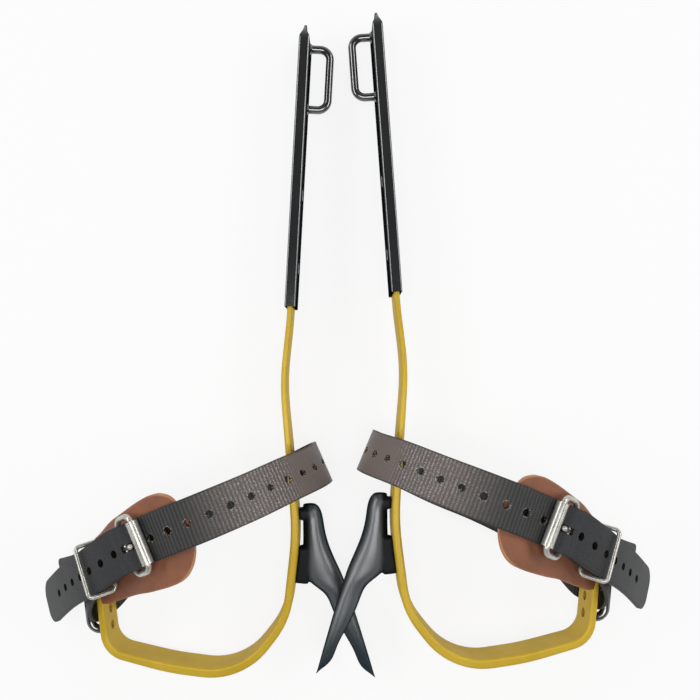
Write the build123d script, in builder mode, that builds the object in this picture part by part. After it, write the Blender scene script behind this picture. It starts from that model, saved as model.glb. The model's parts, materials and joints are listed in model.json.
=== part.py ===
# A pair of tree climbing spikes lying on the ground with their gaffs crossed: two leg irons with a
# stirrup, each with an adjustable upper sleeve, a bolted gaff and a webbing foot strap.
# Millimetres, +Z up, the leg runs along +Y, origin on the ground under the middle of the pair.
import os
from math import asin, cos, degrees, radians, sin

from build123d import *

# Leg iron: one flat steel bar, thin at the top and thick where the boot stands
bar_width = 22.2
bar_thickness_top = 3.2
bar_thickness_gaff = 5.0
bar_thickness_plate = 5.7
bar_thickness_riser = 4.4
bar_edge_radius = 1.4
ground_clearance = 2.9
shank_in_sleeve = 148.0
shank_lean = 3.1
bend_below_sleeve = 8.0
riser_lean = 7.0
riser_height = 53.0
riser_corner_radius = 8.0
riser_hole_diameter = 5.6
riser_hole_from_end = 30.0
riser_hole_spacing = 10.0

# Upper sleeve: a flat tube that slides on the bar and is held by two flat-head screws
sleeve_length = 169.5
sleeve_wall = 1.5
sleeve_clearance = 0.1
sleeve_point = 12.0
sleeve_edge_radius = 1.0
sleeve_top_gap = 4.0
sleeve_corner_radius = 11.6
setting_pitch = 6.35
setting_count = 7
first_setting = 24.0
screw_diameter = 4.0
screw_head_diameter = 6.6
screw_head_depth = 1.3
screw_clearance = 0.15

# Rod loops: one on the sleeve for the calf strap, one on the riser for the foot strap
calf_rod = 4.6
calf_slot_length = 31.8
calf_slot_depth = 9.8
calf_loop_from_top = 31.0
foot_rod = 5.0
foot_slot_length = 31.8
foot_slot_depth = 6.0
foot_loop_from_end = 23.6
loop_corner_radius = 6.0

# Gaff: a forged spike on two lugs, held by two flat-head screws through the bar
gaff_depth = 15.5
gaff_lug_depth = 12.4
gaff_upper_lug = 6.6
gaff_screw_diameter = 6.0
gaff_head_diameter = 10.0
gaff_head_depth = 2.2
gaff_screw_reach = 11.0
upper_screw_from_bend = 10.5
lower_screw_from_bend = 21.5

# Foot strap, buckle, keeper loop and leather pad
strap_width = 25.4
strap_thickness = 2.2
strap_tail_radius = 9.0
strap_end_radius = 4.0
strap_hole_pitch = 12.0
strap_hole_diameter = 4.0
holes_on_tail = 8
holes_on_ankle = 12
layer_gap = 0.4
buckle_wire = 3.2
buckle_length = 13.0
buckle_inside = 28.2
buckle_turn = 24.0
buckle_rise = 5.0
buckle_corner_radius = 4.2
roller_diameter = 6.6
roller_length = 24.4
roller_clearance = 0.4
roller_seam = 0.8
roller_seam_turn = 12.0
bar_clearance = 0.1
keeper_from_tip = 68.0
keeper_from_bar = 25.0
keeper_wire = 2.4
keeper_inside = 27.0
keeper_corner_radius = 2.6
tongue_wire = 3.0
tongue_lean = 53.0
tongue_knuckle_width = 3.4
tongue_knuckle_wall = 1.2
tongue_slot_length = 6.4
slot_clearance = 0.6
pad_thickness = 3.0
pad_width = 49.0
rivet_diameter = 3.2
rivet_head_diameter = 7.0
rivet_head_thickness = 1.1
rivet_spacing = 13.0
rivets_from_bar = 9.0

# How the right climber lies: mirrored, turned, and propped on the left gaff and on its own strap
right_turn = 0.95
right_roll = 0.7
right_pitch = -1.75
right_shift = (-1.8, 7.0)
right_strap_sag = 6.4

bar_middle = ground_clearance + bar_width / 2


def unit(vector):
    return Vector(*vector).normalized()


def slid(plane, distance):
    """The plane moved along its own Y."""
    return Plane(origin=plane.origin + plane.y_dir * distance, x_dir=plane.x_dir, z_dir=plane.z_dir)


def bar_edge(corners, side):
    """Corner points and radii of one long edge of a bar with corners (x, y, thickness, radius)."""
    points = []
    radii = []
    for index, (x, y, thickness, radius) in enumerate(corners):
        here = Vector(x, y)
        runs = []
        if index > 0:
            runs.append((here - Vector(*corners[index - 1][:2])).normalized())
        if index < len(corners) - 1:
            runs.append((Vector(*corners[index + 1][:2]) - here).normalized())
        across = unit((-sum(run.Y for run in runs), sum(run.X for run in runs)))
        square = across.dot(Vector(-runs[0].Y, runs[0].X))
        points.append(here + across * (side * thickness / 2 / square))
        if len(runs) == 2:
            left_turn = 1 if runs[0].cross(runs[1]).Z > 0 else -1
            radii.append(radius - side * left_turn * thickness / 2)
    return points, radii


# Leg iron corners along the middle of the bar, from the top down, round the stirrup and up the riser
sleeve_foot = Vector(-32.5, 41.0)
shank_line = Vector(sin(radians(shank_lean)), cos(radians(shank_lean)))
shank_top = sleeve_foot + shank_line * shank_in_sleeve
below_sleeve = sleeve_foot - shank_line * bend_below_sleeve
knee = Vector(-36.9, -4.0)
gaff_bend = Vector(-28.9, -93.0)
arch_start = Vector(-34.6, -143.7)
arch_foot = Vector(-61.5, -178.1)
plate_bend = Vector(-104.0, -172.6)
riser_foot = Vector(-140.9, -163.1)
riser_line = Vector(-sin(radians(riser_lean)), cos(radians(riser_lean)))
riser_end = riser_foot + riser_line * riser_height
bar_corners = [
    (shank_top.X, shank_top.Y, bar_thickness_top, 0),
    (below_sleeve.X, below_sleeve.Y, bar_thickness_top, 250),
    (knee.X, knee.Y, bar_thickness_top, 150),
    (gaff_bend.X, gaff_bend.Y, bar_thickness_gaff, 150),
    (arch_start.X, arch_start.Y, bar_thickness_gaff, 48),
    (arch_foot.X, arch_foot.Y, bar_thickness_plate, 40),
    (plate_bend.X, plate_bend.Y, bar_thickness_plate, 150),
    (riser_foot.X, riser_foot.Y, bar_thickness_riser, 15),
    (riser_end.X, riser_end.Y, bar_thickness_riser, 0),
]

# Planes that several pieces share
sleeve_plane = Plane(
    origin=(sleeve_foot.X, sleeve_foot.Y, bar_middle),
    x_dir=(shank_line.Y, -shank_line.X, 0),
    z_dir=(0, 0, 1),
)
sleeve_side_plane = Plane(
    origin=sleeve_plane.origin, x_dir=sleeve_plane.y_dir, z_dir=sleeve_plane.x_dir
)
sleeve_foot_plane = Plane(
    origin=sleeve_plane.origin, x_dir=sleeve_plane.x_dir, z_dir=sleeve_plane.y_dir
)
riser_plane = Plane(
    origin=(riser_end.X, riser_end.Y, bar_middle),
    x_dir=(-riser_line.Y, riser_line.X, 0),
    z_dir=(0, 0, -1),
)
calf_plane = slid(sleeve_plane, sleeve_length - calf_loop_from_top)
foot_plane = slid(riser_plane, -foot_loop_from_end)

sleeve_thickness = bar_thickness_top + 2 * (sleeve_clearance + sleeve_wall)
sleeve_depth = bar_width + 2 * (sleeve_clearance + sleeve_wall)
setting_heights = [first_setting + setting_pitch * step for step in range(2 * setting_count)]


def sleeve_face(height):
    """Plane on the gaff side of the sleeve, at a height above its foot, facing outwards."""
    middle = sleeve_plane.from_local_coords(Vector(sleeve_thickness / 2, height, 0))
    return Plane(origin=middle, x_dir=(0, 0, 1), z_dir=sleeve_plane.x_dir)


def bar_inner_face(point, run):
    """Plane on the boot side of the bar beside the gaff, facing the boot."""
    facing = Vector(run.Y, -run.X, 0)
    origin = Vector(point.X, point.Y, bar_middle) + facing * (bar_thickness_gaff / 2)
    return Plane(origin=origin, x_dir=(0, 0, 1), z_dir=facing)


sleeve_screw_planes = [sleeve_face(setting_heights[0]), sleeve_face(setting_heights[setting_count])]
upper_run = (gaff_bend - knee).normalized()
lower_run = (arch_start - gaff_bend).normalized()
gaff_screw_planes = [
    bar_inner_face(gaff_bend - upper_run * upper_screw_from_bend, upper_run),
    bar_inner_face(gaff_bend + lower_run * lower_screw_from_bend, lower_run),
]


def flat_head_screw(diameter, head_diameter, head_depth, length):
    """A flat-head screw along -Z with its head flush at the origin and a hexagon socket in it."""
    with BuildPart() as screw:
        with BuildSketch(Plane.XZ):
            with BuildLine():
                Polyline(
                    (0, 0),
                    (head_diameter / 2, 0),
                    (diameter / 2, -head_depth),
                    (diameter / 2, -length),
                    (0, -length),
                    close=True,
                )
            make_face()
        revolve(axis=Axis.Z)
        with BuildSketch():
            RegularPolygon(diameter * 0.36, 6)
        extrude(amount=-head_depth, mode=Mode.SUBTRACT)
    return screw.part


def fastener_group(fastener, planes):
    """The same fastener at several places, as separate solids of one piece."""
    with BuildPart() as group:
        with Locations(*planes):
            add(fastener)
    return group.part


sleeve_screws = fastener_group(
    flat_head_screw(screw_diameter, screw_head_diameter, screw_head_depth, sleeve_thickness),
    sleeve_screw_planes,
)
gaff_screws = fastener_group(
    flat_head_screw(gaff_screw_diameter, gaff_head_diameter, gaff_head_depth, gaff_screw_reach),
    gaff_screw_planes,
)

with BuildPart() as shank:
    with BuildSketch(Plane.XY.offset(ground_clearance)):
        with BuildLine():
            left_points, left_radii = bar_edge(bar_corners, 1)
            right_points, right_radii = bar_edge(bar_corners, -1)
            left_edge = FilletPolyline(*left_points, radius=left_radii)
            right_edge = FilletPolyline(*right_points, radius=right_radii)
            Line(left_edge @ 0, right_edge @ 0)
            Line(left_edge @ 1, right_edge @ 1)
        make_face()
    extrude(amount=bar_width)
    end_edges = shank.edges().filter_by(lambda edge: abs(edge.length - bar_thickness_riser) < 0.2)
    fillet(end_edges.sort_by_distance(riser_plane.origin)[:2], riser_corner_radius)
    rims = shank.faces().filter_by(Axis.Z)
    fillet(rims.edges().filter_by(lambda edge: edge.length > bar_thickness_plate), bar_edge_radius)
    with Locations(*[sleeve_face(height) for height in setting_heights]):
        Cylinder(
            screw_diameter / 2 + screw_clearance,
            2 * sleeve_thickness,
            mode=Mode.SUBTRACT,
        )
    riser_faces = [
        Plane(origin=riser_plane.from_local_coords(Vector(0, -height, 0)), z_dir=riser_plane.x_dir)
        for height in (riser_hole_from_end, riser_hole_from_end + riser_hole_spacing)
    ]
    with Locations(*riser_faces):
        Cylinder(riser_hole_diameter / 2, 2 * bar_thickness_riser, mode=Mode.SUBTRACT)
    with Locations(*gaff_screw_planes):
        Cylinder(gaff_screw_diameter / 2, 4 * bar_thickness_gaff, mode=Mode.SUBTRACT)
        Cone(
            gaff_screw_diameter / 2,
            gaff_head_diameter / 2,
            gaff_head_depth,
            align=(Align.CENTER, Align.CENTER, Align.MAX),
            mode=Mode.SUBTRACT,
        )

# One side of the sleeve's point: shares of half its thickness and of the length of the point
sleeve_ogee = [(1.0, 0.0), (0.86, 0.20), (0.60, 0.34), (0.36, 0.47), (0.20, 0.72), (0.16, 1.0)]
with BuildPart() as sleeve:
    with BuildSketch(sleeve_foot_plane):
        RectangleRounded(sleeve_thickness, sleeve_depth, sleeve_edge_radius)
    extrude(amount=sleeve_length)
    with BuildSketch(sleeve_side_plane) as side:
        Rectangle(sleeve_length, sleeve_depth, align=(Align.MIN, Align.CENTER))
        fillet(side.vertices().group_by(Axis.X)[-1], sleeve_corner_radius)
    extrude(amount=sleeve_thickness, both=True, mode=Mode.INTERSECT)
    with BuildSketch(sleeve_plane):
        half = sleeve_thickness / 2
        shoulder = sleeve_length - sleeve_point
        rise = [(half * x, shoulder + sleeve_point * y) for x, y in sleeve_ogee]
        fall = [(-x, y) for x, y in rise]
        with BuildLine():
            Polyline(fall[0], (-half, 0), (half, 0), rise[0])
            Spline(*rise, tangents=[(0, 1), (0, 1)])
            Spline(*fall, tangents=[(0, 1), (0, 1)])
            Line(rise[-1], fall[-1])
        make_face()
    extrude(amount=sleeve_depth, both=True, mode=Mode.INTERSECT)
    with BuildSketch(sleeve_foot_plane):
        Rectangle(bar_thickness_top + 2 * sleeve_clearance, bar_width + 2 * sleeve_clearance)
    extrude(amount=shank_in_sleeve + sleeve_top_gap, mode=Mode.SUBTRACT)
    add(sleeve_screws, mode=Mode.SUBTRACT)
    with Locations(*sleeve_screw_planes):
        Cylinder(screw_diameter / 2, 2 * sleeve_thickness, mode=Mode.SUBTRACT)


def rod_loop(plane, face, slot_length, slot_depth, rod):
    """A round rod bent to a U, its two ends on a face of a bar that lies at x = face of the plane."""
    reach = face + slot_depth + rod / 2
    rise = (slot_length + rod) / 2
    with BuildPart() as loop:
        with BuildLine(plane) as route:
            FilletPolyline(
                (face, -rise), (reach, -rise), (reach, rise), (face, rise), radius=loop_corner_radius
            )
        with BuildSketch(Plane(origin=route.line @ 0, z_dir=route.line % 0)):
            Circle(rod / 2)
        sweep(path=route.line)
    return loop.part


calf_loop = rod_loop(calf_plane, sleeve_thickness / 2, calf_slot_length, calf_slot_depth, calf_rod)
foot_loop = rod_loop(foot_plane, bar_thickness_riser / 2, foot_slot_length, foot_slot_depth, foot_rod)

# Gaff sections: place along the leg, edge on the shank side, outer edge, share of the full depth
gaff_sections = [
    (-77.0, -25.2, -18.4, 0.40),
    (-79.2, -25.4, -15.7, 0.70),
    (-84.0, -25.4, -13.7, 0.92),
    (-92.0, -25.3, -12.3, 1.00),
    (-103.0, -25.4, -9.3, 1.00),
    (-113.0, -26.0, -5.0, 0.98),
    (-120.0, -24.6, -1.8, 0.93),
    (-125.5, -19.6, 0.3, 0.87),
    (-131.0, -12.7, 2.2, 0.74),
    (-139.0, -8.3, 4.9, 0.62),
    (-154.0, -1.3, 9.7, 0.50),
    (-167.0, 5.8, 13.7, 0.37),
    (-177.0, 11.4, 16.7, 0.20),
    (-182.6, 18.1, 18.7, 0.03),
]
with BuildPart() as gaff:
    for along, inner, outer, share in gaff_sections:
        middle = ((inner + outer) / 2, along, bar_middle)
        with BuildSketch(Plane(origin=middle, x_dir=(1, 0, 0), z_dir=(0, -1, 0))):
            Ellipse((outer - inner) / 2, share * gaff_depth / 2)
    loft()
    with BuildSketch(Plane.XY.offset(bar_middle)):
        with BuildLine():
            Polyline((-22.0, -124.6), (-30.0, -123.8), (-30.0, -102.8), (-22.0, -102.8), close=True)
        make_face()
        with Locations((gaff_bend.X + bar_thickness_gaff, -83.0)):
            Rectangle(2 * bar_thickness_gaff, gaff_upper_lug)
    extrude(amount=gaff_lug_depth / 2, both=True)
    add(shank.part, mode=Mode.SUBTRACT)
    add(gaff_screws, mode=Mode.SUBTRACT)
    with Locations(*gaff_screw_planes):
        Cylinder(
            gaff_head_diameter / 2,
            bar_thickness_gaff,
            align=(Align.CENTER, Align.CENTER, Align.MAX),
            mode=Mode.SUBTRACT,
        )


def blended(rows, steps):
    """Rows of numbers along a smooth curve through the given rows, with steps pieces per row; the
    curve is eased by the square roots of the gaps, so that unequal gaps give no loops."""
    lead = [2 * a - b for a, b in zip(rows[0], rows[1])]
    trail = [2 * a - b for a, b in zip(rows[-1], rows[-2])]
    padded = [lead] + rows + [trail]
    gaps = [(Vector(*b[:3]) - Vector(*a[:3])).length ** 0.5 for a, b in zip(padded, padded[1:])]
    smooth = []
    for index in range(len(rows) - 1):
        u, v, w = gaps[index:index + 3]
        for step in range(steps):
            t = step / steps
            row = []
            for a, b, c, d in zip(*padded[index:index + 4]):
                leave = c - b + v * ((b - a) / u - (c - a) / (u + v))
                reach = c - b + v * ((d - c) / w - (d - b) / (v + w))
                cubic = leave + reach - 2 * (c - b)
                row.append(b + t * (leave + t * (c - b - leave - cubic + t * cubic)))
            smooth.append(row)
    return smooth + [list(rows[-1])]


def width_line(turn, rise):
    """Direction across a band: turn from -Y towards +X, and how far its lower edge is lifted."""
    turn = radians(turn)
    rise = radians(rise)
    return Vector(sin(turn) * cos(rise), -cos(turn) * cos(rise), sin(rise))


def band_planes(rows):
    """Section planes along a band whose rows start with x, y, z, turn and rise."""
    places = [Vector(*row[:3]) for row in rows]
    planes = []
    for index, row in enumerate(rows):
        ahead = places[min(index + 1, len(rows) - 1)] - places[max(index - 1, 0)]
        across = width_line(row[3], row[4])
        outward = across.cross(ahead).normalized()
        planes.append(Plane(origin=places[index], x_dir=across, z_dir=across.cross(outward)))
    return planes


def band(rows, steps, thickness, width=0.0):
    """A flat band through the rows; a row may carry its own width as its sixth number."""
    smooth = blended(rows, steps)
    with BuildPart() as piece:
        for row, plane in zip(smooth, band_planes(smooth)):
            with BuildSketch(plane):
                Rectangle(row[5] if len(row) > 5 else width, thickness)
        loft(ruled=True)
    return piece.part


def at_run(rows, run):
    """Plane on the middle of a band at a distance along it: X across, Y along, Z outwards."""
    planes = band_planes(rows)
    for start, end in zip(planes, planes[1:]):
        step = end.origin - start.origin
        if run <= step.length:
            place = start.origin + step * (run / step.length)
            return Plane(origin=place, x_dir=start.x_dir, z_dir=start.y_dir)
        run -= step.length
    return planes[-1]


def run_at(rows, place):
    """Distance along a band to the section nearest to a place."""
    places = [Vector(*row[:3]) for row in rows]
    nearest = min(range(len(places)), key=lambda index: (places[index] - place).length)
    return sum((b - a).length for a, b in zip(places[:nearest], places[1:nearest + 1]))


# The buckle: its bar is the origin, the roller lies along X and the boot is below
roller_place = Vector(-108.7, -88.2, 69.8)
buckle_run = unit((0.688, 0.365, 0.609))
buckle_across = width_line(buckle_turn, buckle_rise)
buckle_plane = Plane(
    origin=roller_place - buckle_run * buckle_length,
    x_dir=buckle_run,
    z_dir=buckle_across.cross(buckle_run),
)


def in_buckle(along, height):
    """A row of a band at a place along the buckle and a height above its middle plane."""
    place = buckle_plane.from_local_coords(Vector(along, 0, height))
    return [place.X, place.Y, place.Z, buckle_turn, buckle_rise]


def round_bar(bar, radius, angle):
    """A row on a circle round a bar of the buckle, the angle taken from straight above it."""
    return in_buckle(bar + radius * sin(radians(angle)), radius * cos(radians(angle)))


# Heights of the plies at the buckle, and how steeply the tail weaves between bar and roller
fold_radius = buckle_wire / 2 + layer_gap + strap_thickness / 2
fold_outside = fold_radius + strap_thickness / 2
over_fold = fold_outside + layer_gap + strap_thickness / 2
under_roller = roller_diameter / 2 + layer_gap + strap_thickness / 2
weave = degrees(asin((over_fold + under_roller) / buckle_length))
ply = (strap_thickness + layer_gap) / 2
slot_middle = foot_plane.from_local_coords(Vector((bar_thickness_riser + foot_slot_depth) / 2, 0, 0))


def by_loop(x, y, z, turn, rise):
    """A row of a band beside the middle of the slot in the loop on the riser."""
    return [slot_middle.X + x, slot_middle.Y + y, z, turn, rise]


def strap_route(sag):
    """Foot strap from the tail, through the buckle, over the ankle, round the shank, along the ground,
    up through the loop on the riser and round the bar of the buckle to its sewn end."""
    ground = strap_thickness / 2 + layer_gap / 2 - sag
    return [
        [-182.0, -141.0, 5.0, 20.0, 14.0],
        [-173.5, -133.0, 15.5, 21.0, 16.0],
        [-161.5, -122.6, 30.0, 22.0, 18.0],
        [-148.5, -113.2, 44.8, 23.0, 17.0],
        [-135.5, -104.0, 57.0, 24.0, 11.0],
        round_bar(0, over_fold, -10),
        round_bar(0, over_fold, weave / 2),
        round_bar(0, over_fold, weave),
        round_bar(buckle_length, -under_roller, weave),
        round_bar(buckle_length, -under_roller, weave / 2),
        round_bar(buckle_length, -under_roller, 0),
        [-92.5, -81.0, 72.5, 21.5, 4.0],
        [-81.5, -76.4, 75.2, 21.5, 2.0],
        [-70.5, -72.0, 74.5, 22.0, 0.0],
        [-49.6, -64.0, 66.0, 23.0, 0.0],
        [-31.1, -56.9, 51.0, 23.6, 0.0],
        [-17.0, -52.7, 30.5, 23.6, 0.0],
        [-13.5, -51.5, 18.0, 23.6, 0.0],
        [-15.8, -52.6, 8.0 - sag * 0.4, 23.6, 0.0],
        [-23.5, -56.8, ground + 0.6, 23.6, 0.0],
        [-35.0, -63.0, ground, 23.6, 0.0],
        [-58.0, -74.6, ground, 23.6, 0.0],
        [-85.0, -86.5, ground, 22.0, 0.0],
        [-108.0, -99.0, ground, 20.0, 0.0],
        [-130.0, -116.5, ground, 14.0, 0.0],
        by_loop(6.6, 4.9, ground, 9.0, 0.0),
        by_loop(1.4, 2.1, ground + 0.3, 7.0, 0.0),
        by_loop(-0.6, 1.7, 5.0 - sag * 0.5, 7.0, 0.0),
        by_loop(-0.7, 1.7, 9.5, 7.0, 0.0),
        by_loop(-1.2, 2.1, 17.0, 8.0, 2.0),
        by_loop(-3.4, 7.0, 24.0, 14.0, 8.0),
        [-145.5, -114.6, 38.6, 20.0, 16.0],
        [-134.5, -105.2, 48.8, 23.0, 12.0],
        in_buckle(-rivets_from_bar, -ply),
        in_buckle(-fold_radius * 1.25, -fold_radius * 0.80),
        round_bar(0, fold_radius, 180),
        round_bar(0, fold_radius, 135),
        round_bar(0, fold_radius, 90),
        round_bar(0, fold_radius, 45),
        round_bar(0, fold_radius, 0),
        in_buckle(-fold_radius * 1.25, fold_radius * 0.80),
        in_buckle(-rivets_from_bar, ply),
        [-135.0, -103.9, 52.4, 24.0, 11.0],
        [-148.0, -112.5, 40.2, 23.0, 17.0],
        [-168.6, -121.9, 17.0, 22.0, 18.0],
    ]


# The tongue lies on the bar, comes up through a strap hole and leans on the rear of the roller
tongue_reach = (roller_diameter + tongue_wire + layer_gap) / 2
tongue_tip = Vector(
    buckle_length - tongue_reach * cos(radians(tongue_lean)),
    tongue_reach * sin(radians(tongue_lean)),
)
tongue_hole = buckle_plane.from_local_coords(Vector(tongue_tip.X * 0.55, 0, tongue_tip.Y * 0.55))
tongue_plane = Plane(
    origin=buckle_plane.origin, x_dir=buckle_plane.x_dir, z_dir=-buckle_plane.y_dir
)
tongue_bore = buckle_wire / 2 + bar_clearance
tongue_slot = tongue_wire + 2 * slot_clearance
knuckle_slot = tongue_knuckle_width + 2 * slot_clearance

strap_curve = blended(strap_route(0), 4)
first_hole = run_at(strap_curve, tongue_hole)
hole_planes = [
    at_run(strap_curve, first_hole + strap_hole_pitch * step)
    for step in range(-holes_on_tail, holes_on_ankle)
    if step != 0
]

# Rivets through the two plies behind the buckle bar and the pad below them
rivet_top = ply + strap_thickness / 2
pad_under = -(fold_outside + layer_gap + pad_thickness / 2)
rivet_bottom = pad_under - pad_thickness / 2 - rivet_head_thickness
with BuildPart() as rivet:
    with BuildSketch(Plane.XZ):
        with BuildLine():
            Polyline(
                (0, rivet_top + rivet_head_thickness),
                (rivet_diameter / 2, rivet_top + rivet_head_thickness),
                (rivet_head_diameter / 2, rivet_top),
                (rivet_diameter / 2, rivet_top),
                (rivet_diameter / 2, rivet_bottom),
                (rivet_head_diameter / 2, rivet_bottom),
                (rivet_head_diameter / 2, rivet_bottom - rivet_head_thickness),
                (0, rivet_bottom - rivet_head_thickness),
                close=True,
            )
        make_face()
    revolve(axis=Axis.Z)
rivet_planes = [
    Plane(
        origin=buckle_plane.from_local_coords(Vector(-rivets_from_bar, side * rivet_spacing / 2, 0)),
        x_dir=buckle_plane.x_dir,
        z_dir=buckle_plane.z_dir,
    )
    for side in (-1, 1)
]
pad_rivets = fastener_group(rivet.part, rivet_planes)


def webbing_strap(rows):
    """The foot strap through the rows, with rounded ends, holes, and slots for tongue and knuckle."""
    planes = band_planes(blended(rows, 4))
    tail_plane = Plane(origin=planes[0].origin, x_dir=planes[0].x_dir, z_dir=planes[0].y_dir)
    end_plane = Plane(origin=planes[-1].origin, x_dir=-planes[-1].x_dir, z_dir=planes[-1].y_dir)
    with BuildPart() as strap:
        add(band(rows, 4, strap_thickness, strap_width))
        for plane, radius in ((tail_plane, strap_tail_radius), (end_plane, strap_end_radius)):
            with BuildSketch(plane):
                Rectangle(strap_width + 2 * radius, 2 * radius)
                with Locations((0, radius)):
                    RectangleRounded(strap_width, 2 * radius, radius * 0.999, mode=Mode.SUBTRACT)
            extrude(amount=2 * strap_thickness, both=True, mode=Mode.SUBTRACT)
        with Locations(*hole_planes):
            Cylinder(strap_hole_diameter / 2, 2 * strap_thickness, mode=Mode.SUBTRACT)
        with Locations(at_run(strap_curve, first_hole)):
            Box(tongue_slot, tongue_slot_length, 2 * strap_thickness, mode=Mode.SUBTRACT)
        with Locations(Plane(origin=buckle_plane.origin, z_dir=buckle_plane.y_dir)):
            Cylinder(fold_outside + layer_gap / 2, knuckle_slot, mode=Mode.SUBTRACT)
        with Locations(buckle_plane):
            Box(
                2 * fold_outside,
                knuckle_slot,
                2 * fold_outside,
                align=(Align.MAX, Align.CENTER, Align.CENTER),
                mode=Mode.SUBTRACT,
            )
        add(pad_rivets, mode=Mode.SUBTRACT)
    return strap.part


def wire_frame(plane, first, last, inside, corner, wire):
    """A rectangle of round wire on a plane, with bars at x = first and x = last."""
    half = (inside + wire) / 2
    with BuildPart() as frame:
        with BuildLine(plane) as route:
            FilletPolyline(
                (first, half), (last, half), (last, -half), (first, -half),
                radius=corner, close=True,
            )
        with BuildSketch(Plane(origin=route.line @ 0, z_dir=route.line % 0)):
            Circle(wire / 2)
        sweep(path=route.line)
    return frame.part


buckle_frame = wire_frame(
    buckle_plane, 0, buckle_length, buckle_inside, buckle_corner_radius, buckle_wire
)

# The keeper has one bar over the tail and the other under the main ply
keeper_standoff = strap_thickness / 2 + 2 * layer_gap + keeper_wire / 2
over_tail = at_run(strap_curve, keeper_from_tip)
bar_run = run_at(strap_curve, Vector(*round_bar(0, fold_radius, 180)[:3]))
under_ply = at_run(strap_curve, bar_run - keeper_from_bar)
keeper_front = over_tail.origin + over_tail.z_dir * keeper_standoff
keeper_back = under_ply.origin - under_ply.z_dir * keeper_standoff
keeper_slant = keeper_back - keeper_front
keeper_slant -= over_tail.x_dir * keeper_slant.dot(over_tail.x_dir)
keeper_plane = Plane(
    origin=(keeper_front + keeper_back) / 2,
    x_dir=keeper_slant,
    z_dir=over_tail.x_dir.cross(keeper_slant),
)
keeper_half = keeper_slant.length / 2
strap_keeper = wire_frame(
    keeper_plane, -keeper_half, keeper_half, keeper_inside, keeper_corner_radius, keeper_wire
)

with BuildPart() as buckle_roller:
    roller_plane = Plane(origin=roller_place, x_dir=buckle_plane.x_dir, z_dir=buckle_plane.y_dir)
    with BuildSketch(roller_plane):
        Circle(roller_diameter / 2)
        Circle(buckle_wire / 2 + roller_clearance, mode=Mode.SUBTRACT)
        with PolarLocations(roller_diameter / 2, 1, start_angle=-90 - roller_seam_turn):
            Rectangle(roller_diameter, roller_seam, mode=Mode.SUBTRACT)
    extrude(amount=roller_length / 2, both=True)

with BuildPart() as buckle_tongue:
    with BuildLine(tongue_plane) as tongue_route:
        Line((0, 0), (tongue_tip.X, tongue_tip.Y))
    with BuildSketch(Plane(origin=tongue_route.line @ 0, z_dir=tongue_route.line % 0)):
        Circle(tongue_wire / 2)
    sweep(path=tongue_route.line)
    with Locations(tongue_route.line @ 1):
        Sphere(tongue_wire / 2)
    with BuildSketch(tongue_plane):
        Circle(tongue_bore + tongue_knuckle_wall)
    extrude(amount=tongue_knuckle_width / 2, both=True)
    with BuildSketch(tongue_plane):
        Circle(tongue_bore)
    extrude(amount=tongue_knuckle_width, both=True, mode=Mode.SUBTRACT)


def pad_row(x, y, z, turn, rise, share):
    """A row of the leather pad, its width given as a share of the full width."""
    return [x, y, z, turn, rise, pad_width * share]


# Leather pad under the buckle: a teardrop, wide under the ankle strap and narrow at the riser
under_fold = in_buckle(-1.0, pad_under)
pad_rows = [
    pad_row(-81.4, -80.6, 70.2, 21.0, 4.0, 0.20),
    pad_row(-82.6, -80.4, 70.2, 21.0, 4.0, 0.45),
    pad_row(-85.6, -81.0, 70.0, 21.0, 4.0, 0.72),
    pad_row(-90.0, -83.4, 68.9, 21.0, 4.0, 0.91),
    pad_row(-94.6, -86.0, 67.0, 21.0, 5.0, 0.99),
    pad_row(-100.5, -89.2, 63.5, 21.5, 5.0, 1.00),
    pad_row(-107.6, -93.0, 59.5, 22.0, 5.0, 0.97),
    pad_row(under_fold[0] + 1.0, under_fold[1] - 3.0, under_fold[2], 23.0, 6.0, 0.93),
    pad_row(under_fold[0] - 7.0, under_fold[1] - 8.4, under_fold[2] - 7.0, 23.0, 9.0, 0.88),
    pad_row(-133.0, -108.6, 37.6, 23.0, 14.0, 0.81),
    pad_row(-139.5, -113.0, 30.6, 24.0, 17.0, 0.77),
    pad_row(-143.6, -115.6, 26.8, 24.0, 18.0, 0.70),
]
with BuildPart() as leather_pad:
    add(band(pad_rows, 3, pad_thickness))
    add(pad_rivets, mode=Mode.SUBTRACT)

climber = {
    "shank": shank.part,
    "sleeve": sleeve.part,
    "sleeve_screws": sleeve_screws,
    "calf_strap_loop": calf_loop,
    "gaff": gaff.part,
    "gaff_screws": gaff_screws,
    "foot_strap_loop": foot_loop,
    "foot_strap": webbing_strap(strap_route(0)),
    "leather_pad": leather_pad.part,
    "buckle_frame": buckle_frame,
    "buckle_roller": buckle_roller.part,
    "buckle_tongue": buckle_tongue.part,
    "strap_keeper": strap_keeper,
    "pad_rivets": pad_rivets,
}
right_climber = climber | {"foot_strap": webbing_strap(strap_route(right_strap_sag))}

# The left climber lies flat; the right one is its mirror image, propped on the left gaff
right_lie = Location((right_shift[0], right_shift[1], 0), (right_pitch, right_roll, right_turn))
right_pieces = {
    name: mirror(piece, about=Plane.YZ).moved(right_lie) for name, piece in right_climber.items()
}
right_drop = min(piece.bounding_box().min.Z for piece in right_pieces.values())
placed = {"left_" + name: piece for name, piece in climber.items()}
for name, piece in right_pieces.items():
    placed["right_" + name] = piece.moved(Location((0, 0, -right_drop)))

boxes = [piece.bounding_box() for piece in placed.values()]
centre = Location((
    -(min(box.min.X for box in boxes) + max(box.max.X for box in boxes)) / 2,
    -(min(box.min.Y for box in boxes) + max(box.max.Y for box in boxes)) / 2,
    0,
))
os.makedirs("parts", exist_ok=True)
for name, piece in placed.items():
    node = piece.moved(centre)
    node.label = name
    export_step(node, "parts/" + name + ".step")
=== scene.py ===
"""Looks of a pair of tree climbing spikes: painted leg irons, forged gaffs, webbing straps, leather pads."""
import json
from bisect import bisect_right
from math import asin, cos, degrees, pi, radians, sin, sqrt

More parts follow.
